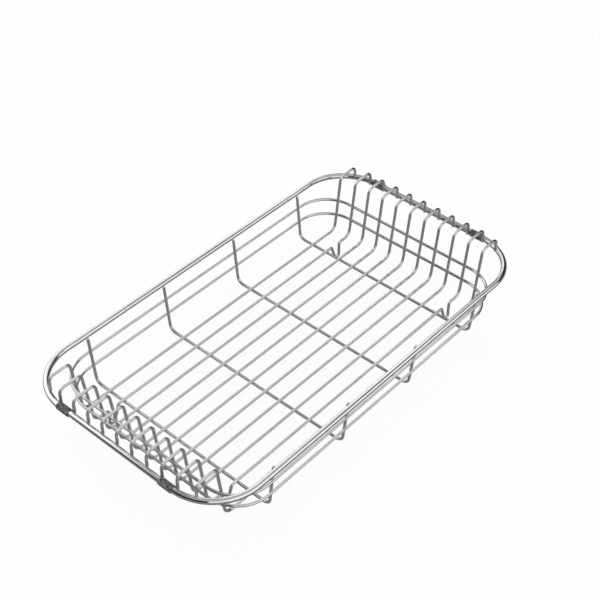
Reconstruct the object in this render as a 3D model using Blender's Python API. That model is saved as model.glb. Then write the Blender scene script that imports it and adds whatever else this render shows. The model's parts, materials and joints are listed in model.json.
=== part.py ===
"""Wire sink basket: a rectangular tray of welded round wire with a heavier rim.

Long wires lie on cross wires and rise as the end walls. Each of their ends hooks over and comes
down on the rim's inner side. The cross wires rise as the side walls and end at the rim. Two rings
go round the walls, two of the long wires are folded down into four feet, and four sleeves cover
the rim between the hooks.

Lengths are in metres. +X runs along the basket, +Y across it and +Z up. The origin is at the
middle of the ground that the feet stand on.
"""
import math
from collections import namedtuple

import bmesh
import bpy
import numpy
from mathutils import Matrix, Vector

# Wire stock
WIRE_DIAMETER = 0.003
RIM_DIAMETER = 0.006
WELD_GAP = 0.0003

# Rim: length and width over its outer sides, height from axis to axis over the cross wires
RIM_LENGTH = 0.4556
RIM_WIDTH = 0.254
RIM_RISE = 0.055
RIM_CORNER_RADIUS = 0.052

# Walls: how far each one leans out, a side wall up to the rim, an end wall up to the hooks' tops
SIDE_WALL_SPREAD = 0.0056
END_WALL_SPREAD = 0.0086

# Rings round the walls, at heights over the cross wires
LOWER_RING_RISE = 0.020
UPPER_RING_RISE = 0.038
RING_CORNER_RADIUS = 0.038

# Long wires: the outermost one lies this far in from the side wall's foot
LONG_WIRE_COUNT = 11
EDGE_WIRE_INSET = 0.01985
END_BEND_RADIUS = 0.009

# Hooks at the long wires' ends: top over the rim, wall to outer leg, tip under the rim's axis
HOOK_RISE = 0.0152
HOOK_SPAN = 0.025
HOOK_TIP_DROP = 0.0025
HOOK_BEND_RADIUS = 0.006

# Cross wires: the outermost one lies this far in from the end wall's foot
CROSS_WIRE_COUNT = 4
OUTER_CROSS_WIRE_INSET = 0.0364
CROSS_TIP_RISE = 0.002
SIDE_BEND_RADIUS = 0.008

# Feet: folded down past the outermost cross wire, in the long wire this many in from each edge wire
FOOT_WIRE_COUNT_IN = 1
FOOT_SETBACK = 0.0072
FOOT_SPAN = 0.013
FOOT_TOE_RUN = 0.0056
FOOT_DEPTH = 0.0198
FOOT_BEND_RADIUS = 0.003

# Sleeves on the rim
SLEEVE_WALL = 0.0007
SLEEVE_CLEARANCE = 0.0003

# Facets of the round shapes
WIRE_SIDES = 12
RIM_SIDES = 12
SLEEVE_SIDES = 16
FACETS_PER_BEND = 5
FACETS_PER_CORNER = 9
SHARP_ANGLE = math.radians(50)

# Spacings from axis to axis, where one wire lies on another
WIRE_RADIUS = WIRE_DIAMETER / 2
RIM_RADIUS = RIM_DIAMETER / 2
WIRE_ON_WIRE = WIRE_DIAMETER + WELD_GAP
WIRE_ON_RIM = WIRE_RADIUS + RIM_RADIUS + WELD_GAP

# Heights of the axes over the ground
LONG_WIRE_Z = FOOT_DEPTH + WIRE_RADIUS
CROSS_WIRE_Z = LONG_WIRE_Z - WIRE_ON_WIRE
RIM_Z = CROSS_WIRE_Z + RIM_RISE
HOOK_Z = RIM_Z + HOOK_RISE

Outline = namedtuple("Outline", "half_length half_width corner_radius height")
Wall = namedtuple("Wall", "low_reach low_height high_reach high_height")


def reach_at(wall, height):
    """How far from the middle a straight wall lies at a height."""
    share = (height - wall.low_height) / (wall.high_height - wall.low_height)
    return wall.low_reach + share * (wall.high_reach - wall.low_reach)


def side_wall():
    """The side walls' line, from the floor to the rim's inner side."""
    head = RIM_WIDTH / 2 - RIM_RADIUS - WIRE_ON_RIM
    return Wall(head - SIDE_WALL_SPREAD, CROSS_WIRE_Z, head, RIM_Z)


def end_wall():
    """The end walls' line, from the floor to the hooks' tops."""
    head = RIM_LENGTH / 2 - RIM_RADIUS - WIRE_ON_RIM - HOOK_SPAN
    return Wall(head - END_WALL_SPREAD, CROSS_WIRE_Z, head, HOOK_Z)


def rim_outline():
    """The rim's axis."""
    return Outline(RIM_LENGTH / 2 - RIM_RADIUS, RIM_WIDTH / 2 - RIM_RADIUS, RIM_CORNER_RADIUS, RIM_Z)


def ring_outline(rise):
    """A ring's axis: it goes round the outer side of all the wall wires."""
    height = CROSS_WIRE_Z + rise
    half_length = reach_at(end_wall(), height) + WIRE_ON_WIRE
    half_width = reach_at(side_wall(), height) + WIRE_ON_WIRE
    return Outline(half_length, half_width, RING_CORNER_RADIUS, height)


def seat(half_along, half_across, corner_radius, across, spacing):
    """How far a wire reaches along, at a place across, to lie inside a rounded rectangle."""
    past_corner = max(abs(across) - half_across + corner_radius, 0)
    return half_along - corner_radius + math.sqrt((corner_radius - spacing) ** 2 - past_corner ** 2)


def end_seat(outline, y, spacing):
    """X of a wire that lies inside an outline's end at y."""
    return seat(outline.half_length, outline.half_width, outline.corner_radius, y, spacing)


def side_seat(outline, x, spacing):
    """Y of a wire that lies inside an outline's side at x."""
    return seat(outline.half_width, outline.half_length, outline.corner_radius, x, spacing)


def spread_places(count, outermost):
    """Even places from the positive side to the negative one."""
    return [outermost * (1 - 2 * index / (count - 1)) for index in range(count)]


RIM = rim_outline()
LOWER_RING = ring_outline(LOWER_RING_RISE)
UPPER_RING = ring_outline(UPPER_RING_RISE)
OUTER_CROSS_WIRE_X = end_wall().low_reach - OUTER_CROSS_WIRE_INSET
LONG_WIRE_PLACES = spread_places(LONG_WIRE_COUNT, side_wall().low_reach - EDGE_WIRE_INSET)
CROSS_WIRE_PLACES = spread_places(CROSS_WIRE_COUNT, OUTER_CROSS_WIRE_X)


def turn_at(before, corner, after):
    """Signed angle through which a path turns at a corner."""
    heading_in = corner - before
    heading_out = after - corner
    return math.atan2(heading_in.x * heading_out.y - heading_in.y * heading_out.x,
                      heading_in.dot(heading_out))


def bent_path(corners, radii, facets, closed=False):
    """Flat path through corners, each bend drawn as the sides of a polygon round its arc.

    A bend that has no room takes the share of its straight runs that its radius asks for.
    """
    corners = [Vector(corner) for corner in corners]
    count = len(corners)
    bends = range(count) if closed else range(1, count - 1)
    turns = {}
    tangents = {}
    for index, radius in zip(bends, radii):
        turns[index] = turn_at(corners[index - 1], corners[index], corners[(index + 1) % count])
        tangents[index] = radius * math.tan(abs(turns[index]) / 2)
    path = []
    for index, corner in enumerate(corners):
        if index not in turns:
            path.append(corner)
            continue
        room = 1
        for neighbour in (index - 1) % count, (index + 1) % count:
            run = (corners[neighbour] - corner).length
            wanted = tangents[index] + tangents.get(neighbour, 0)
            room = min(room, run / wanted)
        path += bend_points(corners[index - 1], corner, turns[index], tangents[index] * room, facets)
    return path


def bend_points(before, corner, turn, tangent, facets):
    """Corners of the polygon round one bend, of so many facets to a right angle."""
    count = max(round(facets * abs(turn) / (math.pi / 2)), 1)
    heading = (corner - before).normalized()
    radius = tangent / math.tan(abs(turn) / 2)
    to_centre = Vector((-heading.y, heading.x)) * math.copysign(radius, turn)
    start = corner - heading * tangent
    step = turn / count
    points = []
    for index in range(count):
        swing = Matrix.Rotation(step * (index + 0.5), 2)
        points.append(start + to_centre - swing @ to_centre / math.cos(step / 2))
    return points


def round_section(radius, sides):
    """Section of a round wire, with its flats at the wire's radius and two of them level."""
    corner_reach = radius / math.cos(math.pi / sides)
    angles = [2 * math.pi * (index + 0.5) / sides for index in range(sides)]
    return [(corner_reach * math.cos(angle), corner_reach * math.sin(angle)) for angle in angles]


def add_skin(shape, path, plane_normal, section, closed=False):
    """Loft a section along a flat path, mitred at every point, and return its vertex rings."""
    rings = []
    for index, point in enumerate(path):
        is_first = index == 0 and not closed
        is_last = index == len(path) - 1 and not closed
        leaving = path[(index + 1) % len(path)] - point if not is_last else point - path[index - 1]
        arriving = point - path[index - 1] if not is_first else leaving
        heading = (arriving.normalized() + leaving.normalized()).normalized()
        mitre = 1 / heading.dot(leaving.normalized())
        sideways = heading.cross(plane_normal) * mitre
        rings.append([shape.verts.new(point + sideways * u + plane_normal * v) for u, v in section])
    following = rings[1:] + rings[:1] if closed else rings[1:]
    for ring, next_ring in zip(rings, following):
        join_rings(shape, ring, next_ring)
    return rings


def join_rings(shape, ring, next_ring):
    """Faces between two rings of as many vertices."""
    for index in range(len(ring)):
        shape.faces.new((ring[index - 1], ring[index], next_ring[index], next_ring[index - 1]))


def wire_shape(path, plane_normal, section, closed=False):
    """Solid wire along a flat path."""
    shape = bmesh.new()
    rings = add_skin(shape, path, plane_normal, section, closed)
    if not closed:
        shape.faces.new(rings[0])
        shape.faces.new(rings[-1])
    return shape


def tube_shape(path, plane_normal, outer_section, inner_section):
    """Tube along a flat path, open at both ends."""
    shape = bmesh.new()
    outer_rings = add_skin(shape, path, plane_normal, outer_section)
    inner_rings = add_skin(shape, path, plane_normal, inner_section)
    join_rings(shape, outer_rings[0], inner_rings[0])
    join_rings(shape, outer_rings[-1], inner_rings[-1])
    return shape


def surface(name, colour, metallic, roughness):
    """Plain material of one piece."""
    material = bpy.data.materials.new(name)
    material.use_nodes = True
    shader = material.node_tree.nodes["Principled BSDF"]
    shader.inputs["Base Color"].default_value = (*colour, 1)
    shader.inputs["Metallic"].default_value = metallic
    shader.inputs["Roughness"].default_value = roughness
    return material


def bright_steel(name):
    """Polished stainless wire."""
    return surface(name + "_steel", (0.62, 0.62, 0.63), metallic=1.0, roughness=0.22)


def grey_rubber(name):
    """Dark matt sleeve."""
    return surface(name + "_rubber", (0.10, 0.10, 0.11), metallic=0.0, roughness=0.6)


def add_piece(name, shape, location, material):
    """Put a finished shape into the scene as a named object."""
    bmesh.ops.recalc_face_normals(shape, faces=shape.faces)
    mesh = bpy.data.meshes.new(name)
    shape.to_mesh(mesh)
    shape.free()
    mesh.shade_smooth()
    mesh.set_sharp_from_angle(angle=SHARP_ANGLE)
    mesh.materials.append(material)
    piece = bpy.data.objects.new(name, mesh)
    piece.location = location
    bpy.context.scene.collection.objects.link(piece)
    return piece


def outline_path(outline):
    """Closed path of a rounded rectangle in its own level plane."""
    corners = [(outline.half_length, outline.half_width), (-outline.half_length, outline.half_width),
               (-outline.half_length, -outline.half_width), (outline.half_length, -outline.half_width)]
    radii = [outline.corner_radius] * len(corners)
    return [point.to_3d() for point in bent_path(corners, radii, FACETS_PER_CORNER, closed=True)]


def add_loop(name, outline, section):
    """The rim or a ring: one wire closed on itself."""
    shape = wire_shape(outline_path(outline), Vector((0, 0, 1)), section, closed=True)
    add_piece(name, shape, (0, 0, outline.height), bright_steel(name))


def wall_through_rings(seat_in, place):
    """Line of a wall wire that lies against the inner sides of both rings."""
    lower_reach = seat_in(LOWER_RING, place, WIRE_ON_WIRE)
    upper_reach = seat_in(UPPER_RING, place, WIRE_ON_WIRE)
    return Wall(lower_reach, LOWER_RING.height, upper_reach, UPPER_RING.height)


def foot_corners():
    """Corners of one foot: a leaning leg out, a short toe on the ground and an upright leg back."""
    heel_x = OUTER_CROSS_WIRE_X + FOOT_SETBACK
    toe_x = heel_x + FOOT_SPAN
    ground_z = LONG_WIRE_Z - FOOT_DEPTH
    return [(heel_x, LONG_WIRE_Z), (toe_x - FOOT_TOE_RUN, ground_z), (toe_x, ground_z),
            (toe_x, LONG_WIRE_Z)]


def hook_corners(y):
    """Corners of an end wall and its hook, from the floor to the tip on the rim's inner side."""
    wall = wall_through_rings(end_seat, y)
    leg_x = end_seat(RIM, y, WIRE_ON_RIM)
    return [(reach_at(wall, LONG_WIRE_Z), LONG_WIRE_Z), (reach_at(wall, HOOK_Z), HOOK_Z),
            (leg_x, HOOK_Z), (leg_x, RIM_Z - HOOK_TIP_DROP)]


def side_corners(x):
    """Corners of a side wall, from the floor to the tip on the rim's inner side."""
    wall = wall_through_rings(side_seat, x)
    tip_z = RIM_Z + CROSS_TIP_RISE
    return [(reach_at(wall, CROSS_WIRE_Z), CROSS_WIRE_Z), (reach_at(wall, tip_z), tip_z)]


def mirrored_path(half_corners, half_radii):
    """Path of a wire that is alike on both sides of the middle."""
    other_half = [(-reach, height) for reach, height in reversed(half_corners)]
    radii = half_radii[::-1] + half_radii
    return bent_path(other_half + half_corners, radii, FACETS_PER_BEND)


def add_long_wire(number, y):
    """One wire of the floor and both end walls, with its two hooks and any feet."""
    corners = hook_corners(y)
    radii = [END_BEND_RADIUS, HOOK_BEND_RADIUS, HOOK_BEND_RADIUS]
    if number in (1 + FOOT_WIRE_COUNT_IN, LONG_WIRE_COUNT - FOOT_WIRE_COUNT_IN):
        feet = foot_corners()
        corners = feet + corners
        radii = [FOOT_BEND_RADIUS] * len(feet) + radii
    path = [Vector((x, 0, z - LONG_WIRE_Z)) for x, z in mirrored_path(corners, radii)]
    shape = wire_shape(path, Vector((0, 1, 0)), round_section(WIRE_RADIUS, WIRE_SIDES))
    name = f"long_wire_{number:02d}"
    add_piece(name, shape, (0, y, LONG_WIRE_Z), bright_steel(name))


def add_cross_wire(number, x):
    """One wire across the floor and up both side walls."""
    path = [Vector((0, y, z - CROSS_WIRE_Z)) for y, z in mirrored_path(side_corners(x), [SIDE_BEND_RADIUS])]
    shape = wire_shape(path, Vector((1, 0, 0)), round_section(WIRE_RADIUS, WIRE_SIDES))
    name = f"cross_wire_{number}"
    add_piece(name, shape, (x, 0, CROSS_WIRE_Z), bright_steel(name))


def rim_stretch(low_y, high_y):
    """Path of the rim's end between two places across it."""
    end_points = sorted((point.y, point.x) for point in outline_path(RIM) if point.x > 0)
    ys = [y for y, x in end_points]
    xs = [x for y, x in end_points]
    stretch = [y for y in ys if low_y < y < high_y]
    return [Vector((numpy.interp(y, ys, xs), y, 0)) for y in [low_y, *stretch, high_y]]


def add_sleeve(number, x_side, y_side):
    """One sleeve on the rim's end, between the legs of the footed wire and the next one in."""
    outer_y = LONG_WIRE_PLACES[FOOT_WIRE_COUNT_IN] - WIRE_RADIUS - WELD_GAP
    inner_y = LONG_WIRE_PLACES[FOOT_WIRE_COUNT_IN + 1] + WIRE_RADIUS + WELD_GAP
    path = [Vector((point.x * x_side, point.y * y_side, 0)) for point in rim_stretch(inner_y, outer_y)]
    hole_radius = RIM_RADIUS + SLEEVE_CLEARANCE
    shape = tube_shape(path, Vector((0, 0, 1)), round_section(hole_radius + SLEEVE_WALL, SLEEVE_SIDES),
                       round_section(hole_radius, SLEEVE_SIDES))
    name = f"sleeve_{number}"
    add_piece(name, shape, (0, 0, RIM.height), grey_rubber(name))


def main():
    for item in list(bpy.data.objects):
        bpy.data.objects.remove(item)
    wire_section = round_section(WIRE_RADIUS, WIRE_SIDES)
    add_loop("rim", RIM, round_section(RIM_RADIUS, RIM_SIDES))
    add_loop("upper_ring", UPPER_RING, wire_section)
    add_loop("lower_ring", LOWER_RING, wire_section)
    for number, y in enumerate(LONG_WIRE_PLACES, start=1):
        add_long_wire(number, y)
    for number, x in enumerate(CROSS_WIRE_PLACES, start=1):
        add_cross_wire(number, x)
    corners_of_rim = [(1, 1), (-1, 1), (-1, -1), (1, -1)]
    for number, (x_side, y_side) in enumerate(corners_of_rim, start=1):
        add_sleeve(number, x_side, y_side)


main()
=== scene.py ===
# %% [markdown]
# # A wire sink basket
# The basket is a rectangular tray of welded stainless wire. Thin long wires lie on thin cross
# wires, both rise as walls, two rings tie the walls together and a thicker wire makes the rim.
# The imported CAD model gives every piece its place, so it is loaded first and never moved.
# The pieces below are rounder and more finely bent copies of its wires, with real finishes.

# %% The fixed frame
import json
import math
from collections import namedtuple

import bmesh
import bpy
from mathutils import Matrix, Vector

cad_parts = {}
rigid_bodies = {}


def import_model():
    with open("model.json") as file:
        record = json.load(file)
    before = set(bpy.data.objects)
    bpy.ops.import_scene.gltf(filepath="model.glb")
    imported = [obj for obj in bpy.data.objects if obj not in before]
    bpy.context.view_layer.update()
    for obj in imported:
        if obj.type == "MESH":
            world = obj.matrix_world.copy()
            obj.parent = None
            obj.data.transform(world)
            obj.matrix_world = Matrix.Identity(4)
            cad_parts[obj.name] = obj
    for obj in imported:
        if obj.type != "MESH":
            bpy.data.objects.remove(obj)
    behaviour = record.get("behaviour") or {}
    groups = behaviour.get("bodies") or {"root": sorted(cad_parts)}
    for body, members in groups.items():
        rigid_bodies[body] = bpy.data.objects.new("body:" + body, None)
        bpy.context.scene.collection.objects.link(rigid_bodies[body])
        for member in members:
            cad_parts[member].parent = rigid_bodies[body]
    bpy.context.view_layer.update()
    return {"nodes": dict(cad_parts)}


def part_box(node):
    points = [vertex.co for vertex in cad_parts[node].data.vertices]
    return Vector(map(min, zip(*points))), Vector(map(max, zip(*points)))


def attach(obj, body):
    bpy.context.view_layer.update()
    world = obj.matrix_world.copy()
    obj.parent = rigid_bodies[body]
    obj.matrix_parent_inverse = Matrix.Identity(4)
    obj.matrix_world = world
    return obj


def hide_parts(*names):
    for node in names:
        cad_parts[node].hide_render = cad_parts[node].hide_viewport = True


for item in list(bpy.data.objects):
    bpy.data.objects.remove(item)
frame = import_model()
print("CAD nodes:", len(frame["nodes"]))

# %% [markdown]
# ## Sizes from the frame
# A wire's thickness and place can be read from the box round its CAD node. The rim and the rings
# are level, so the height of a box is their wire's diameter. The CAD wires have flat sides whose
# flats touch the round wire, so the box of a level wire is exactly as high as the wire is thick.

# %% Boxes of the level wires
def middle_and_half(node):
    """Middle and half size of a CAD node's box."""
    low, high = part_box(node)
    return (low + high) / 2, (high - low) / 2


rim_middle, rim_half = middle_and_half("rim")
RIM_RADIUS = rim_half.z
RIM_Z = rim_middle.z
WIRE_RADIUS = middle_and_half("lower_ring")[1].z
print(f"rim wire {2000 * RIM_RADIUS:.2f} mm, thin wire {2000 * WIRE_RADIUS:.2f} mm")

# %% Places of the straight wires
LONG_WIRES = [f"long_wire_{number:02d}" for number in range(1, 12)]
CROSS_WIRES = [f"cross_wire_{number}" for number in range(1, 5)]
LONG_WIRE_PLACES = [middle_and_half(node)[0].y for node in LONG_WIRES]
CROSS_WIRE_PLACES = [middle_and_half(node)[0].x for node in CROSS_WIRES]
CROSS_WIRE_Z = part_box("cross_wire_1")[0].z + WIRE_RADIUS
print(f"long wires every {1000 * (LONG_WIRE_PLACES[0] - LONG_WIRE_PLACES[1]):.2f} mm, "
      f"cross wires every {1000 * (CROSS_WIRE_PLACES[0] - CROSS_WIRE_PLACES[1]):.1f} mm")

# %% [markdown]
# ## Pressed welds
# Wire goods are welded by a press that squeezes two crossing wires while a current softens them,
# so they end up sunk into each other. The CAD keeps a small gap at every crossing, because its
# solids may not overlap. Each wire here moves by less than its own thickness from its CAD place,
# until the gap is closed and the wires are sunk in as the welds of this basket are.

# %% Distances between welded wires
CAD_GAP = 0.0003
WIRE_ON_WIRE = 2 * WIRE_RADIUS + CAD_GAP
WIRE_ON_RIM = WIRE_RADIUS + RIM_RADIUS + CAD_GAP
FLOOR_PRESS = 0.0005
LONG_WIRE_Z = CROSS_WIRE_Z + WIRE_ON_WIRE - FLOOR_PRESS
print(f"floor wires are sunk {1000 * (FLOOR_PRESS - CAD_GAP):.1f} mm into each other")

# %% [markdown]
# ## Rounded outlines
# The rim and the rings are rounded rectangles. Every wall wire lies against their inner sides, so
# one rule says how far a wire reaches when it lies inside such an outline, also in its corners,
# where the outermost wires land on the arc. All wires of a kind are bent on one machine with the
# same setting, so their walls lean alike, and the outermost hooks reach deeper into the rim's arc.

# %% Outlines of the rim and the rings
RIM_CORNER_RADIUS = 0.052
RING_CORNER_RADIUS = 0.038
Outline = namedtuple("Outline", "half_length half_width corner_radius height")


def outline_of(node, corner_radius):
    """Rounded rectangle that the axis of a level loop follows."""
    middle, half = middle_and_half(node)
    return Outline(half.x - half.z, half.y - half.z, corner_radius, middle.z)


RIM = outline_of("rim", RIM_CORNER_RADIUS)
LOWER_RING = outline_of("lower_ring", RING_CORNER_RADIUS)
UPPER_RING = outline_of("upper_ring", RING_CORNER_RADIUS)
for name, outline in (("rim", RIM), ("lower ring", LOWER_RING), ("upper ring", UPPER_RING)):
    print(name, [f"{1000 * size:.2f}" for size in outline], "mm")


# %% Where a wire lies against an outline
def seat(half_along, half_across, corner_radius, across, spacing):
    """How far a wire reaches along, at a place across, to lie inside a rounded rectangle."""
    past_corner = max(abs(across) - half_across + corner_radius, 0)
    arc_reach = math.sqrt((corner_radius - spacing) ** 2 - past_corner ** 2)
    return half_along - corner_radius + arc_reach


def end_seat(outline, y, spacing):
    """X of a wire that lies inside an outline's end at y."""
    return seat(outline.half_length, outline.half_width, outline.corner_radius, y, spacing)


def side_seat(outline, x, spacing):
    """Y of a wire that lies inside an outline's side at x."""
    return seat(outline.half_width, outline.half_length, outline.corner_radius, x, spacing)


for y in (0, LONG_WIRE_PLACES[0]):
    reach = end_seat(LOWER_RING, y, WIRE_ON_WIRE)
    print(f"a wire at y {1000 * y:.2f} mm reaches {1000 * reach:.2f} mm in the lower ring")

# %% How far the walls and the legs reach
WALL_PRESS = 0.0003
LEG_PRESS = 0.0008
CORNER_LEG_PRESS = 0.0022


def wall_reach(seat_in, place, height):
    """Reach, at a height, of a wall wire that is pressed on the rings and leans like the rest."""
    low = seat_in(LOWER_RING, place, WIRE_ON_WIRE) + WALL_PRESS
    lean = seat_in(UPPER_RING, 0, WIRE_ON_WIRE) - seat_in(LOWER_RING, 0, WIRE_ON_WIRE)
    return low + lean * (height - LOWER_RING.height) / (UPPER_RING.height - LOWER_RING.height)


def leg_spacing(y):
    """Distance between the rim's axis and a hook's outer leg. Outermost legs are sunk deeper."""
    outermost = y in (LONG_WIRE_PLACES[0], LONG_WIRE_PLACES[-1])
    return WIRE_ON_RIM - (CORNER_LEG_PRESS if outermost else LEG_PRESS)


def leg_reach(y):
    """X of a hook's outer leg, which is pressed on the rim's inner side."""
    return end_seat(RIM, y, leg_spacing(y))


lean_out = wall_reach(end_seat, 0, RIM_Z) - wall_reach(end_seat, 0, LONG_WIRE_Z)
print(f"end walls lean out {1000 * lean_out:.2f} mm")

# %% [markdown]
# ## One helper for every node
# Shaders and Geometry Nodes are both built from nodes. This small class wraps an output socket, so
# that sums can be written as Python expressions, and any other node comes from one method that
# takes the node's type, then its settings, then the values or links of its sockets.

# %% Sockets that take part in sums
def find_socket(sockets, name):
    """The socket at a place in the list, or the first one in use that has the name."""
    if isinstance(name, int):
        return sockets[name]
    return next(socket for socket in sockets if socket.enabled and socket.name == name)


class Flow:
    """What comes out of one socket of a node tree."""

    def __init__(self, tree, socket):
        self.tree = tree
        self.socket = socket

    @classmethod
    def node(cls, tree, kind, settings=None, inputs=None, output=0):
        """A new node, with its settings made first and its sockets filled after them."""
        node = tree.nodes.new(kind)
        for name, value in (settings or {}).items():
            setattr(node, name, value)
        for name, value in (inputs or {}).items():
            socket = find_socket(node.inputs, name)
            if isinstance(value, Flow):
                tree.links.new(value.socket, socket)
            else:
                socket.default_value = value
        return cls(tree, find_socket(node.outputs, output))

    def maths(self, operation, first, second=0):
        """A Math node of two flows or numbers."""
        return Flow.node(self.tree, "ShaderNodeMath", {"operation": operation},
                         {0: first, 1: second})

    def __add__(self, other):
        return self.maths("ADD", self, other)

    def __radd__(self, other):
        return self.maths("ADD", other, self)

    def __sub__(self, other):
        return self.maths("SUBTRACT", self, other)

    def __rsub__(self, other):
        return self.maths("SUBTRACT", other, self)

    def __mul__(self, other):
        return self.maths("MULTIPLY", self, other)

    def __rmul__(self, other):
        return self.maths("MULTIPLY", other, self)

    def __abs__(self):
        return self.maths("ABSOLUTE", self)


print("operators ready: + - * abs")

# %% [markdown]
# ## Polished wire
# Stainless wire is pulled through a die, which leaves faint lines along it, and is then polished.
# It mirrors its surroundings with a slight blur. A brushed texture on flat coordinates would turn
# across a bend, so each wire carries an attribute, `around`: the place on its round section. Noise
# that changes fast around the wire and slowly along it draws lines that follow every bend.

# %% Trees of materials
def new_material(name):
    """A material whose tree holds only its output, and that tree."""
    material = bpy.data.materials.new(name)
    material.use_nodes = True
    tree = material.node_tree
    tree.nodes.clear()
    return material, tree


def end_material(tree, shader):
    """Lead the last shader to the material's output."""
    output = tree.nodes.new("ShaderNodeOutputMaterial")
    tree.links.new(shader.socket, output.inputs["Surface"])


print("helpers ready: new_material, end_material")


# %% Patterns and tones
def noise(tree, place, scale, detail):
    """Noise between 0 and 1, with a number of cells per metre."""
    return Flow.node(tree, "ShaderNodeTexNoise",
                     inputs={"Vector": place, "Scale": scale, "Detail": detail}, output="Fac")


def stretched(tree, value, limits):
    """A value that is 0 at the low limit, 1 at the high one, and stays between them."""
    return Flow.node(tree, "ShaderNodeMapRange",
                     inputs={"Value": value, "From Min": limits[0], "From Max": limits[1]})


def between(tree, share, first, second):
    """A colour between two, with a share of the second one."""
    return Flow.node(tree, "ShaderNodeMix", {"data_type": "RGBA"},
                     {"Factor": share, "A": first, "B": second}, "Result")


print("helpers ready: noise, stretched, between")

# %% Steel finish
CHANGES_ALONG = 45
LINE_DETAIL = 2
LINE_TINT = 0.3
LINE_BLUR = 0.04
LINE_STRENGTH = 0.12
LINE_DEPTH = 0.00003
SMUDGES_PER_METRE = 70
SMUDGE_DETAIL = 4
SMUDGE_LIMITS = (0.5, 0.75)
SMUDGE_TINT = 0.5
SMUDGE_BLUR = 0.05
DARK_SHARE = 0.86


def polished_steel(name, line_width, roughness, colour):
    """Drawn and polished stainless steel."""
    material, tree = new_material(name)
    place = Flow.node(tree, "ShaderNodeTexCoord", output="Object")
    around = Flow.node(tree, "ShaderNodeAttribute", {"attribute_name": "around"}, output="Vector")
    along = Flow.node(tree, "ShaderNodeVectorMath", {"operation": "DOT_PRODUCT"},
                      {0: place, 1: (CHANGES_ALONG,) * 3}, "Value")
    spread = Flow.node(tree, "ShaderNodeVectorMath", {"operation": "SCALE"},
                       {"Vector": around, "Scale": 1 / line_width}, "Vector")
    lift = Flow.node(tree, "ShaderNodeCombineXYZ", inputs={"Z": along})
    lines_at = Flow.node(tree, "ShaderNodeVectorMath", {"operation": "ADD"}, {0: spread, 1: lift})
    lines = noise(tree, lines_at, 1, LINE_DETAIL)
    smudge = stretched(tree, noise(tree, place, SMUDGES_PER_METRE, SMUDGE_DETAIL), SMUDGE_LIMITS)
    dark_colour = [DARK_SHARE * part for part in colour]
    tone = between(tree, smudge * SMUDGE_TINT + lines * LINE_TINT, (*colour, 1), (*dark_colour, 1))
    bump = Flow.node(tree, "ShaderNodeBump",
                     inputs={"Strength": LINE_STRENGTH, "Distance": LINE_DEPTH, "Height": lines})
    blur = roughness + lines * LINE_BLUR + smudge * SMUDGE_BLUR
    shader = Flow.node(tree, "ShaderNodeBsdfPrincipled",
                       inputs={"Base Color": tone, "Metallic": 1, "Roughness": blur,
                               "Normal": bump})
    end_material(tree, shader)
    return material


print("finish ready: polished_steel")

# %% Steel of the wires, the rim and the welds
WIRE_FINISH = polished_steel("polished_wire", line_width=0.00022, roughness=0.05,
                             colour=(0.71, 0.71, 0.705))
RIM_FINISH = polished_steel("polished_rim", line_width=0.0003, roughness=0.03,
                            colour=(0.74, 0.74, 0.735))
WELD_FINISH = polished_steel("weld_bead", line_width=0.0006, roughness=0.22,
                             colour=(0.56, 0.56, 0.555))
print("steel finishes:", WIRE_FINISH.name, RIM_FINISH.name, WELD_FINISH.name)

# %% [markdown]
# ## Bent wires
# A bending machine takes straight wire and turns it at set places through set radii. Geometry
# Nodes can do the same: the corners come in as a chain of edges with a bend radius at each corner,
# Fillet Curve rounds them and Curve to Mesh sweeps the round section along. The sweep is one tree
# with named inputs, so all fifteen bent wires come from it.

# %% Trees for wire that follows a path
def new_tree(name, sizes):
    """A Geometry Nodes tree with its named inputs, and the flows of those inputs."""
    tree = bpy.data.node_groups.new(name, "GeometryNodeTree")
    tree.interface.new_socket("Geometry", in_out="INPUT", socket_type="NodeSocketGeometry")
    for size, kind in sizes.items():
        tree.interface.new_socket(size, in_out="INPUT", socket_type=kind)
    tree.interface.new_socket("Geometry", in_out="OUTPUT", socket_type="NodeSocketGeometry")
    entry = tree.nodes.new("NodeGroupInput")
    return tree, {socket.name: Flow(tree, socket) for socket in entry.outputs if socket.name}


def end_tree(tree, geometry, finish):
    """Shade smooth, make instances real, set the finish and lead the geometry out."""
    smooth = Flow.node(tree, "GeometryNodeSetShadeSmooth", inputs={"Geometry": geometry})
    real = Flow.node(tree, "GeometryNodeRealizeInstances", inputs={"Geometry": smooth})
    dressed = Flow.node(tree, "GeometryNodeSetMaterial",
                        inputs={"Geometry": real, "Material": finish})
    way_out = tree.nodes.new("NodeGroupOutput")
    tree.links.new(dressed.socket, way_out.inputs[0])


def sweep_wire(tree, path, radius, sides, thickness):
    """Sweep a round section along a path, and keep the place on the section as `around`."""
    section = Flow.node(tree, "GeometryNodeCurvePrimitiveCircle",
                        inputs={"Resolution": sides, "Radius": radius})
    place = Flow.node(tree, "GeometryNodeInputPosition")
    section = Flow.node(tree, "GeometryNodeStoreNamedAttribute", {"data_type": "FLOAT_VECTOR"},
                        {"Geometry": section, "Name": "around", "Value": place})
    return Flow.node(tree, "GeometryNodeCurveToMesh",
                     inputs={"Curve": path, "Profile Curve": section, "Scale": thickness,
                             "Fill Caps": True})


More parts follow.
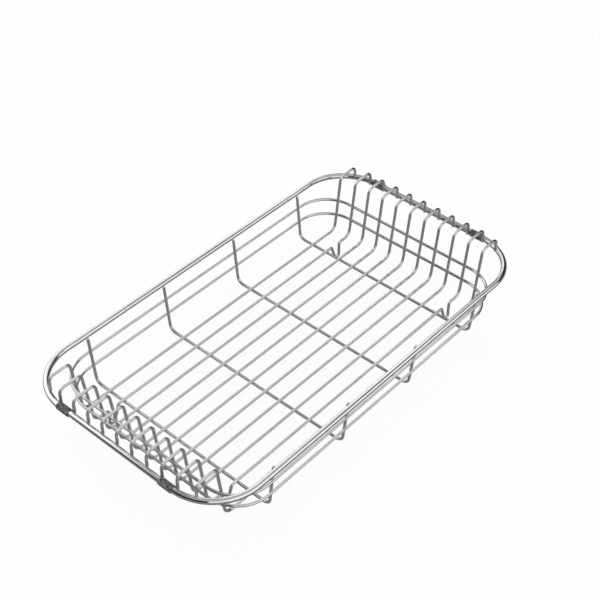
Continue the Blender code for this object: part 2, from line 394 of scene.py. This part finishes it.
def bent_wire_tree():
    """A chain of corners becomes a bent wire."""
    tree, given = new_tree("bent_wire", {"Wire Radius": "NodeSocketFloat",
                                         "Section Sides": "NodeSocketInt",
                                         "Bend Steps": "NodeSocketInt",
                                         "Finish": "NodeSocketMaterial"})
    bend = Flow.node(tree, "GeometryNodeInputNamedAttribute", inputs={"Name": "bend_radius"})
    thickness = Flow.node(tree, "GeometryNodeInputNamedAttribute", inputs={"Name": "thickness"})
    chain = Flow.node(tree, "GeometryNodeMeshToCurve", inputs={"Mesh": given["Geometry"]})
    path = Flow.node(tree, "GeometryNodeFilletCurve", {"mode": "POLY"},
                     {"Curve": chain, "Radius": bend, "Limit Radius": True,
                      "Count": given["Bend Steps"]})
    wire = sweep_wire(tree, path, given["Wire Radius"], given["Section Sides"], thickness)
    end_tree(tree, wire, given["Finish"])
    return tree


BENT_WIRE = bent_wire_tree()
print("tree:", BENT_WIRE.name, "with", len(BENT_WIRE.nodes), "nodes")


# %% From tree to plain mesh
def grow(name, start_mesh, tree, sizes):
    """Run a tree on a mesh and keep the result as a plain mesh object at the origin."""
    start = bpy.data.objects.new(name + "_start", start_mesh)
    bpy.context.scene.collection.objects.link(start)
    modifier = start.modifiers.new("grow", "NODES")
    modifier.node_group = tree
    for socket in tree.interface.items_tree:
        if socket.name in sizes:
            modifier[socket.identifier] = sizes[socket.name]
    evaluated = start.evaluated_get(bpy.context.evaluated_depsgraph_get())
    mesh = bpy.data.meshes.new_from_object(evaluated)
    start.modifiers.remove(modifier)
    bpy.data.objects.remove(start)
    mesh.name = name
    piece = bpy.data.objects.new(name, mesh)
    bpy.context.scene.collection.objects.link(piece)
    return piece


def settle(piece, slot, *nodes):
    """The piece rides on the basket, and stands for the CAD nodes that it replaces."""
    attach(piece, "root")
    if nodes:
        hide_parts(*nodes)


def corner_chain(name, corners):
    """Mesh of a wire's corners: each one is a place, a bend radius and a thickness."""
    mesh = bpy.data.meshes.new(name)
    edges = [(index, index + 1) for index in range(len(corners) - 1)]
    mesh.from_pydata([place for place, radius, thickness in corners], edges, [])
    bend = mesh.attributes.new("bend_radius", "FLOAT", "POINT")
    bend.data.foreach_set("value", [radius for place, radius, thickness in corners])
    swell = mesh.attributes.new("thickness", "FLOAT", "POINT")
    swell.data.foreach_set("value", [thickness for place, radius, thickness in corners])
    return mesh


print("helpers ready: grow, settle, corner_chain")

# %% [markdown]
# ## Long wires
# One wire each makes a floor wire, two end walls and two hooks. Its shape follows a rule: floor,
# wall inside both rings, up above the rim, then out and down on the rim's inner side. Each cut end
# is slightly rounded by the deburring drum. The second wire from each side is also folded down
# into two feet.

# %% Corners of a long wire
HOOK_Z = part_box("long_wire_06")[1].z - WIRE_RADIUS
HOOK_TIP_DROP = 0.0008
END_BEND_RADIUS = 0.009
HOOK_BEND_RADIUS = 0.006
DEBURRED = 0.0004
DEBURRED_TIP = ((DEBURRED, 1), (DEBURRED / 4, 0.9), (0, 0.72))


def hook_corners(y):
    """End wall, hook and outer leg, from the floor to the rounded tip."""
    leg_x = leg_reach(y)
    tip_z = RIM_Z - HOOK_TIP_DROP
    tip = [(leg_x, tip_z + above, 0, thickness) for above, thickness in DEBURRED_TIP]
    return [(wall_reach(end_seat, y, LONG_WIRE_Z), LONG_WIRE_Z, END_BEND_RADIUS, 1),
            (wall_reach(end_seat, y, HOOK_Z), HOOK_Z, HOOK_BEND_RADIUS, 1),
            (leg_x, HOOK_Z, HOOK_BEND_RADIUS, 1)] + tip


print("hook top at", f"{1000 * HOOK_Z:.1f} mm")

# %% Corners of a foot
OUTER_CROSS_WIRE_X = CROSS_WIRE_PLACES[0]
FOOT_SETBACK = 0.0072
FOOT_SPAN = 0.013
FOOT_TOE_RUN = 0.0056
FOOT_BEND_RADIUS = 0.003


def foot_corners():
    """A leaning leg out, a short toe on the ground and an upright leg back."""
    heel_x = OUTER_CROSS_WIRE_X + FOOT_SETBACK
    toe_x = heel_x + FOOT_SPAN
    return [(heel_x, LONG_WIRE_Z, FOOT_BEND_RADIUS, 1),
            (toe_x - FOOT_TOE_RUN, WIRE_RADIUS, FOOT_BEND_RADIUS, 1),
            (toe_x, WIRE_RADIUS, FOOT_BEND_RADIUS, 1),
            (toe_x, LONG_WIRE_Z, FOOT_BEND_RADIUS, 1)]


print("toe ends at x", f"{1000 * (OUTER_CROSS_WIRE_X + FOOT_SETBACK + FOOT_SPAN):.1f} mm")


# %% Long wires in place
THIN_WIRE_SIDES = 20
BEND_STEPS = 10


def mirrored(half):
    """Corners of a wire that is alike on both sides of the middle."""
    return [(-reach, *rest) for reach, *rest in reversed(half)] + half


def bent_wire(name, corners, finish):
    """Grow one bent wire from its corners."""
    sizes = {"Wire Radius": WIRE_RADIUS, "Section Sides": THIN_WIRE_SIDES,
             "Bend Steps": BEND_STEPS, "Finish": finish}
    return grow(name, corner_chain(name, corners), BENT_WIRE, sizes)


FOOTED = (LONG_WIRES[1], LONG_WIRES[-2])
for node, y in zip(LONG_WIRES, LONG_WIRE_PLACES):
    half = hook_corners(y)
    if node in FOOTED:
        half = foot_corners() + half
    corners = [((x, y, z), radius, thickness) for x, z, radius, thickness in mirrored(half)]
    piece = bent_wire(node.replace("long_wire", "floor_and_hook_wire"), corners, WIRE_FINISH)
    settle(piece, "wire_steel", node)
print("long wires:", len(LONG_WIRES), "with", len(piece.data.polygons), "faces each or more")

# %% [markdown]
# ## Cross wires
# They lie under the long wires, rise as the side walls and end at the rim's inner side, level with
# its middle. The same tree bends them.

# %% Cross wires in place
SIDE_BEND_RADIUS = 0.008
CROSS_TIP_RISE = 0.0002
for node, x in zip(CROSS_WIRES, CROSS_WIRE_PLACES):
    tip_z = RIM_Z + CROSS_TIP_RISE
    levels = [(CROSS_WIRE_Z, SIDE_BEND_RADIUS, 1)]
    levels += [(tip_z - below, 0, thickness) for below, thickness in DEBURRED_TIP]
    half = [(wall_reach(side_seat, x, z), z, radius, thickness) for z, radius, thickness in levels]
    corners = [((x, y, z), radius, thickness) for y, z, radius, thickness in mirrored(half)]
    piece = bent_wire(node.replace("cross_wire", "floor_and_side_wire"), corners, WIRE_FINISH)
    settle(piece, "wire_steel", node)
print("cross wires:", len(CROSS_WIRES))

# %% [markdown]
# ## Rings and rim
# Each one is a wire bent to a rounded rectangle and butt welded, so it has no ends. A second tree
# makes the rectangle itself, rounds its four corners and sweeps the section round it.

# %% Closed loops
def closed_loop_tree():
    """A rounded rectangle of wire."""
    tree, given = new_tree("closed_loop", {"Length": "NodeSocketFloat",
                                           "Width": "NodeSocketFloat",
                                           "Corner Radius": "NodeSocketFloat",
                                           "Height": "NodeSocketFloat",
                                           "Wire Radius": "NodeSocketFloat",
                                           "Section Sides": "NodeSocketInt",
                                           "Bend Steps": "NodeSocketInt",
                                           "Finish": "NodeSocketMaterial"})
    oblong = Flow.node(tree, "GeometryNodeCurvePrimitiveQuadrilateral",
                       inputs={"Width": given["Length"], "Height": given["Width"]})
    path = Flow.node(tree, "GeometryNodeFilletCurve", {"mode": "POLY"},
                     {"Curve": oblong, "Radius": given["Corner Radius"],
                      "Count": given["Bend Steps"]})
    lift = Flow.node(tree, "ShaderNodeCombineXYZ", inputs={"Z": given["Height"]})
    path = Flow.node(tree, "GeometryNodeTransform", inputs={"Geometry": path, "Translation": lift})
    wire = sweep_wire(tree, path, given["Wire Radius"], given["Section Sides"], 1.0)
    end_tree(tree, wire, given["Finish"])
    return tree


CLOSED_LOOP = closed_loop_tree()
print("tree:", CLOSED_LOOP.name, "with", len(CLOSED_LOOP.nodes), "nodes")

# %% Rim and rings in place
RIM_SIDES = 32
CORNER_STEPS = 24
RING_END_PRESS = 0.0004
RING_SIDE_PRESS = 0.0013
LOWER_RING_RISE = 0.0004
UPPER_RING_RISE = -0.0003
RINGS = {"lower_ring": (LOWER_RING, LOWER_RING_RISE),
         "upper_ring": (UPPER_RING, UPPER_RING_RISE)}


def closed_loop(name, outline, wire_radius, sides, finish):
    """Grow the rim or a ring from its outline."""
    sizes = {"Length": 2 * outline.half_length, "Width": 2 * outline.half_width,
             "Corner Radius": outline.corner_radius, "Height": outline.height,
             "Wire Radius": wire_radius, "Section Sides": sides, "Bend Steps": CORNER_STEPS,
             "Finish": finish}
    return grow(name, bpy.data.meshes.new(name), CLOSED_LOOP, sizes)


def pressed_in(outline, rise):
    """Outline of a ring that the welds have pulled in against the walls, and its true height."""
    return Outline(outline.half_length - RING_END_PRESS, outline.half_width - RING_SIDE_PRESS,
                   outline.corner_radius, outline.height + rise)


settle(closed_loop("rim_wire", RIM, RIM_RADIUS, RIM_SIDES, RIM_FINISH), "rim_steel", "rim")
for node, (outline, rise) in RINGS.items():
    ring = closed_loop(node + "_wire", pressed_in(outline, rise), WIRE_RADIUS, THIN_WIRE_SIDES,
                       WIRE_FINISH)
    settle(ring, "wire_steel", node)
print("closed loops: rim and", len(RINGS), "rings")

# %% [markdown]
# ## Welds
# Where two wires cross, a pulse of current melts them together and squeezes out a small bead. The
# basket has more than a hundred such spots. They repeat, so one bead of a few dozen faces is
# set on points that carry the direction from one wire to the other.

# %% Weld spots on the floor
spots = [((x, y, (LONG_WIRE_Z + CROSS_WIRE_Z) / 2), (0, 0, 1))
         for x in CROSS_WIRE_PLACES for y in LONG_WIRE_PLACES]
print("floor welds:", len(spots))


# %% Weld spots on the rings and the rim
def towards_outline(outline, x, y):
    """Level direction from a wire that lies inside an outline to the outline."""
    past_x = max(abs(x) - outline.half_length + outline.corner_radius, 0)
    past_y = max(abs(y) - outline.half_width + outline.corner_radius, 0)
    return Vector((math.copysign(past_x, x), math.copysign(past_y, y), 0)).normalized()


def add_wall_weld(outline, x, y, offset, lift):
    """One weld between an upright wire at x, y and an outline round it."""
    heading = towards_outline(outline, x, y)
    spots.append((Vector((x, y, outline.height + lift)) + heading * offset, heading))


END_RING_WELD = (WIRE_ON_WIRE - WALL_PRESS - RING_END_PRESS) / 2
SIDE_RING_WELD = (WIRE_ON_WIRE - WALL_PRESS - RING_SIDE_PRESS) / 2
LEG_WELD_DEPTH = (LEG_PRESS - CAD_GAP) / 2
HOOK_WELD_LIFT = 0.0006
SIDE_WELD_LIFT = -0.001
for side in (1, -1):
    for outline, rise in RINGS.values():
        for y in LONG_WIRE_PLACES:
            reach = side * wall_reach(end_seat, y, outline.height)
            add_wall_weld(outline, reach, y, END_RING_WELD, rise)
        for x in CROSS_WIRE_PLACES:
            reach = side * wall_reach(side_seat, x, outline.height)
            add_wall_weld(outline, x, reach, SIDE_RING_WELD, rise)
    for y in LONG_WIRE_PLACES:
        leg_weld = leg_spacing(y) - RIM_RADIUS + LEG_WELD_DEPTH
        add_wall_weld(RIM, side * leg_reach(y), y, leg_weld, HOOK_WELD_LIFT)
    for x in CROSS_WIRE_PLACES:
        reach = side * wall_reach(side_seat, x, RIM_Z)
        add_wall_weld(RIM, x, reach, WIRE_RADIUS, SIDE_WELD_LIFT)
print("all welds:", len(spots))


# %% Weld beads
BEAD_RADIUS = 0.0015
BEAD_FLATNESS = 0.65
BEAD_SEGMENTS = 10
BEAD_RINGS = 6
BEAD_WOBBLE = 0.1
BEAD_SEED = 7


def weld_bead_tree():
    """A flat bead on every point, turned to the point's own direction."""
    tree, given = new_tree("weld_beads", {"Bead Radius": "NodeSocketFloat",
                                          "Flatness": "NodeSocketFloat",
                                          "Finish": "NodeSocketMaterial"})
    bead = Flow.node(tree, "GeometryNodeMeshUVSphere",
                     inputs={"Segments": BEAD_SEGMENTS, "Rings": BEAD_RINGS, "Radius": 1.0})
    heading = Flow.node(tree, "GeometryNodeInputNamedAttribute", {"data_type": "FLOAT_VECTOR"},
                        {"Name": "heading"})
    turn = Flow.node(tree, "FunctionNodeAlignRotationToVector", {"axis": "Z"},
                     {"Vector": heading})
    wobble = Flow.node(tree, "FunctionNodeRandomValue",
                       inputs={"Min": 1 - BEAD_WOBBLE, "Max": 1 + BEAD_WOBBLE,
                               "Seed": BEAD_SEED})
    width = wobble * given["Bead Radius"]
    size = Flow.node(tree, "ShaderNodeCombineXYZ",
                     inputs={"X": width, "Y": width, "Z": given["Bead Radius"] * given["Flatness"]})
    beads = Flow.node(tree, "GeometryNodeInstanceOnPoints",
                      inputs={"Points": given["Geometry"], "Instance": bead,
                              "Rotation": turn, "Scale": size})
    end_tree(tree, beads, given["Finish"])
    return tree


points = bpy.data.meshes.new("weld_points")
points.from_pydata([place for place, heading in spots], [], [])
headings = points.attributes.new("heading", "FLOAT_VECTOR", "POINT")
headings.data.foreach_set("vector", [part for place, heading in spots for part in heading])
welds = grow("weld_beads", points, weld_bead_tree(),
             {"Bead Radius": BEAD_RADIUS, "Flatness": BEAD_FLATNESS, "Finish": WELD_FINISH})
settle(welds, "wire_steel")
print("weld beads:", len(welds.data.polygons), "faces")

# %% [markdown]
# ## Sleeves
# Four short pieces of dark hose are pushed on the rim's ends, where the basket rests on the sink.
# Each one is a tube that follows the rim's axis, with softly rounded lips at both ends. It is
# lofted ring by ring: up the hole's lip, over the outside and back into the hole.

# %% Hose finish
HOSE_DARK = (0.035, 0.035, 0.035, 1)
HOSE_PALE = (0.16, 0.16, 0.158, 1)
HOSE_ROUGHNESS = 0.42
HOSE_DETAIL = 3
HOSE_STRENGTH = 0.6
HOSE_DEPTH = 0.0002
GRAINS_PER_METRE = 2600
GRAIN_HEIGHT = 0.3
PATCHES_PER_METRE = 520
PATCH_LIMITS = (0.4, 0.62)
PATCH_HEIGHT = 0.7
PATCH_BLUR = 0.2


def hose_rubber(name):
    """Dark grey matt hose with paler patches."""
    material, tree = new_material(name)
    place = Flow.node(tree, "ShaderNodeTexCoord", output="Object")
    grain = noise(tree, place, GRAINS_PER_METRE, HOSE_DETAIL)
    patches = stretched(tree, noise(tree, place, PATCHES_PER_METRE, HOSE_DETAIL), PATCH_LIMITS)
    tone = between(tree, patches, HOSE_DARK, HOSE_PALE)
    bump = Flow.node(tree, "ShaderNodeBump",
                     inputs={"Strength": HOSE_STRENGTH, "Distance": HOSE_DEPTH,
                             "Height": patches * PATCH_HEIGHT + grain * GRAIN_HEIGHT})
    shader = Flow.node(tree, "ShaderNodeBsdfPrincipled",
                       inputs={"Base Color": tone, "Normal": bump,
                               "Roughness": HOSE_ROUGHNESS + patches * PATCH_BLUR})
    end_material(tree, shader)
    return material


HOSE_FINISH = hose_rubber("hose_rubber")
print("hose finish:", HOSE_FINISH.name)


# %% Rings of a sleeve
SLEEVE_RADIUS = middle_and_half("sleeve_1")[1].z
SLEEVE_FIT = 0.00005
SLEEVE_HOLE_RADIUS = RIM_RADIUS + SLEEVE_FIT
SLEEVE_SIDES = 32
SLEEVE_STEPS = 8
LIP_RADIUS = (SLEEVE_RADIUS - SLEEVE_HOLE_RADIUS) / 2
LIP_STEPS = 6


def rim_point(x_side, y):
    """Point of the rim's axis on one end, and the rim's heading there."""
    radius = RIM.corner_radius
    past = math.copysign(max(abs(y) - RIM.half_width + radius, 0), y)
    reach = math.sqrt(radius ** 2 - past ** 2)
    heading = Vector((-x_side * past / radius, reach / radius, 0))
    return Vector((x_side * (RIM.half_length - radius + reach), y, RIM.height)), heading


def sleeve_rings(low_y, high_y):
    """Place along the rim and radius of each ring, from lip to lip and back through the hole."""
    lip = [math.pi * step / LIP_STEPS for step in range(LIP_STEPS + 1)]
    middle_radius = SLEEVE_HOLE_RADIUS + LIP_RADIUS
    over_lip = [(LIP_RADIUS * (1 - math.sin(angle)), middle_radius - LIP_RADIUS * math.cos(angle))
                for angle in lip]
    start = [(low_y + along, radius) for along, radius in over_lip]
    end = [(high_y - along, radius) for along, radius in reversed(over_lip)]
    length = high_y - low_y
    steps = [low_y + length * step / SLEEVE_STEPS for step in range(1, SLEEVE_STEPS)]
    outside = [(y, SLEEVE_RADIUS) for y in steps]
    inside = [(y, SLEEVE_HOLE_RADIUS) for y in reversed(steps)]
    return start + outside + end + inside


print(f"sleeves are {2000 * SLEEVE_RADIUS:.1f} mm thick, with lips of {1000 * LIP_RADIUS:.2f} mm")


# %% Sleeves in place
def sleeve_mesh(name, x_side, low_y, high_y):
    """Closed skin of one sleeve."""
    shape = bmesh.new()
    turns = [2 * math.pi * step / SLEEVE_SIDES for step in range(SLEEVE_SIDES)]
    rings = []
    for y, radius in sleeve_rings(low_y, high_y):
        centre, heading = rim_point(x_side, y)
        up = Vector((0, 0, 1))
        sideways = heading.cross(up)
        spokes = [math.cos(turn) * sideways + math.sin(turn) * up for turn in turns]
        rings.append([shape.verts.new(centre + radius * spoke) for spoke in spokes])
    for ring, following in zip(rings, rings[1:] + rings[:1]):
        for step in range(SLEEVE_SIDES):
            shape.faces.new((ring[step - 1], ring[step], following[step], following[step - 1]))
    bmesh.ops.recalc_face_normals(shape, faces=shape.faces)
    mesh = bpy.data.meshes.new(name)
    shape.to_mesh(mesh)
    shape.free()
    mesh.shade_smooth()
    mesh.materials.append(HOSE_FINISH)
    return mesh


for number in range(1, 5):
    node = f"sleeve_{number}"
    low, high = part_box(node)
    name = f"hose_{number}"
    mesh = sleeve_mesh(name, math.copysign(1, low.x), low.y, high.y)
    piece = bpy.data.objects.new(name, mesh)
    bpy.context.scene.collection.objects.link(piece)
    settle(piece, "sleeve_rubber", node)
    print(name, f"is {1000 * (high.y - low.y):.1f} mm long")

# %% [markdown]
# ## Floor and background
# The basket stands on a plain pale table in a white tent. Light Path tells camera and mirror rays
# from the rest, so most of the white that they see doesn't light the basket. The rest of what the
# camera sees of the table is real light, which keeps a soft shadow on it.

# %% White floor
WHITE = (1, 1, 1, 1)
GLOW_SHARE = 0.9
TABLE_SIDE = 12
TABLE_Z = -0.0002
TABLE_GRAINS_PER_METRE = 30
TABLE_DETAIL = 2
TABLE_DARK = (0.9, 0.9, 0.9, 1)
TABLE_PALE = (0.93, 0.93, 0.93, 1)


def seen_by_lens_or_mirror(tree):
    """1 for the rays of the camera and of mirrors, 0 for the rest."""
    kinds = ("Is Camera Ray", "Is Glossy Ray", "Is Transmission Ray")
    return sum((Flow.node(tree, "ShaderNodeLightPath", output=kind) for kind in kinds), start=0)


def white_floor():
    """Pale table top that keeps a faint shadow."""
    material, tree = new_material("pale_table")
    place = Flow.node(tree, "ShaderNodeTexCoord", output="Object")
    grain = noise(tree, place, TABLE_GRAINS_PER_METRE, TABLE_DETAIL)
    tone = between(tree, grain, TABLE_DARK, TABLE_PALE)
    lit = Flow.node(tree, "ShaderNodeBsdfDiffuse", inputs={"Color": tone})
    glow = Flow.node(tree, "ShaderNodeEmission", inputs={"Color": WHITE, "Strength": 1})
    mixed = Flow.node(tree, "ShaderNodeMixShader",
                      inputs={0: seen_by_lens_or_mirror(tree) * GLOW_SHARE, 1: lit, 2: glow})
    end_material(tree, mixed)
    return material


def flat_board(name, width, height, material):
    """Flat rectangle round its own middle."""
    mesh = bpy.data.meshes.new(name)
    x, y = width / 2, height / 2
    mesh.from_pydata([(-x, -y, 0), (x, -y, 0), (x, y, 0), (-x, y, 0)], [], [(0, 1, 2, 3)])
    mesh.materials.append(material)
    board = bpy.data.objects.new(name, mesh)
    bpy.context.scene.collection.objects.link(board)
    return board


table = flat_board("table", TABLE_SIDE, TABLE_SIDE, white_floor())
table.location.z = TABLE_Z
print("table is", f"{table.dimensions.x:.0f} m square")

# %% [markdown]
# ## Light
# Polished wire is only as good as what it mirrors. In an all-white tent it would look flat, so
# dark boards close both ends of the tent, and grey ones dim its ceiling and lie under the basket,
# as is done for any chrome piece. The open long sides give every wire its bright core, and the
# boards give it its dark edges. Only polished metal sees the boards. Three soft boxes light the
# long sides a little more than the tent does, which also gives the table its soft shadow.

# %% White tent
TENT_LEVEL = 0.9


def white_tent():
    """Evenly white room, which the lens and mirrors see at full white."""
    world = bpy.data.worlds.new("white_tent")
    world.use_nodes = True
    tree = world.node_tree
    tree.nodes.clear()
    level = TENT_LEVEL + seen_by_lens_or_mirror(tree) * (1 - TENT_LEVEL)
    background = Flow.node(tree, "ShaderNodeBackground",
                           inputs={"Color": WHITE, "Strength": level})
    output = tree.nodes.new("ShaderNodeOutputWorld")
    tree.links.new(background.socket, output.inputs["Surface"])
    return world


bpy.context.scene.world = white_tent()
print("world:", bpy.context.scene.world.name)


# %% Boards
def board_finish(name, width, height, feather, level):
    """Grey that fades out towards the board's edges."""
    material, tree = new_material(name)
    place = Flow.node(tree, "ShaderNodeTexCoord", output="Object")
    cover = 1
    for axis, half in (("X", width / 2), ("Y", height / 2)):
        along = Flow.node(tree, "ShaderNodeSeparateXYZ", inputs={"Vector": place}, output=axis)
        from_edge = half - abs(along)
        cover = cover * Flow.node(tree, "ShaderNodeMapRange", {"interpolation_type": "SMOOTHSTEP"},
                                  {"Value": from_edge, "From Max": feather})
    clear = Flow.node(tree, "ShaderNodeBsdfTransparent")
    grey = Flow.node(tree, "ShaderNodeEmission", inputs={"Color": WHITE, "Strength": level})
    mixed = Flow.node(tree, "ShaderNodeMixShader", inputs={0: cover, 1: clear, 2: grey})
    end_material(tree, mixed)
    return material


def studio_board(name, middle, facing, width, height, feather, level):
    """Board that only polished metal sees."""
    board = flat_board(name, width, height, board_finish(name, width, height, feather, level))
    board.location = middle
    board.rotation_euler = Vector(facing).to_track_quat("Z", "Y").to_euler()
    board.visible_camera = False
    board.visible_diffuse = False
    board.visible_transmission = False
    board.visible_shadow = False


# Each row: name, middle, facing, width, height, width of the feathered edge, level.
BOARDS = (
    ("left_end_board", (-2.4, 0.15, 1.4), (1, 0, 0), 3.5, 3.4, 0.25, 0.02),
    ("right_end_board", (2.4, 0.08, 1.0), (-1, 0, 0), 4.56, 2.6, 0.25, 0.03),
    ("high_right_board", (1.25, -0.72, 1.6), (-1.25, 0.72, -1.55), 1.3, 0.8, 0.2, 0.05),
    ("ceiling_board", (0, -0.15, 3.0), (0, 0, -1), 4.4, 4.1, 0.3, 0.55),
    ("back_ceiling_board", (-0.6, 1.15, 2.95), (0, 0, -1), 3.4, 1.6, 0.3, 0.3),
    ("floor_board", (0.1, 0, -0.0001), (0, 0, 1), 3.6, 2.6, 0.3, 0.25),
)
for board in BOARDS:
    studio_board(*board)
print("boards:", ", ".join(board[0] for board in BOARDS))


# %% Soft boxes
def soft_box(name, place, target, width, height, radiance):
    """Rectangular area lamp of a given brightness, which looks at a target."""
    lamp = bpy.data.lights.new(name, "AREA")
    lamp.shape = "RECTANGLE"
    lamp.size = width
    lamp.size_y = height
    lamp.energy = radiance * math.pi * width * height
    holder = bpy.data.objects.new(name, lamp)
    holder.location = place
    holder.rotation_euler = (Vector(target) - Vector(place)).to_track_quat("-Z", "Y").to_euler()
    holder.visible_camera = False
    bpy.context.scene.collection.objects.link(holder)


# Each row: name, place, what it looks at, width, height, radiance.
SOFT_BOXES = (
    ("back_soft_box", (0.2, 3.0, 1.4), (0, 0, 0.05), 5.0, 2.8, 0.5),
    ("front_soft_box", (0.4, -3.0, 0.8), (0, 0, 0.1), 4.6, 1.8, 0.4),
    ("high_soft_box", (-1.1, 2.52, 3.0), (-0.22, 0, 0.07), 2.6, 1.1, 0.5),
)
for box in SOFT_BOXES:
    soft_box(*box)
print("soft boxes:", ", ".join(box[0] for box in SOFT_BOXES))

# %% [markdown]
# ## Camera
# The camera stands where the photograph was taken from: in front of the left end, 1.3 m away and
# looking down at about 41 degrees. The small shift moves the frame as the picture's crop does.

# %% Camera at the photograph's view
EYE = Vector((-0.66488, -0.59865, 0.89426))
AIM = Vector((0.05914, 0.04188, 0.045))
ROLL = math.radians(0.18)
FOCAL_LENGTH = 75.08
SENSOR_WIDTH = 36
CROP_SHIFT = (0.0087, -0.0195)
NEAREST = 0.05
lens = bpy.data.cameras.new("camera")
lens.sensor_width = SENSOR_WIDTH
lens.lens = FOCAL_LENGTH
lens.shift_x, lens.shift_y = CROP_SHIFT
lens.clip_start = NEAREST
camera = bpy.data.objects.new("camera", lens)
camera.location = EYE
look = (AIM - EYE).to_track_quat("-Z", "Y").to_matrix() @ Matrix.Rotation(ROLL, 3, "Z")
camera.rotation_euler = look.to_euler()
bpy.context.scene.collection.objects.link(camera)
bpy.context.scene.camera = camera
bpy.context.scene.view_settings.view_transform = "Standard"
print("camera is", f"{(AIM - EYE).length:.2f} m from what it looks at")
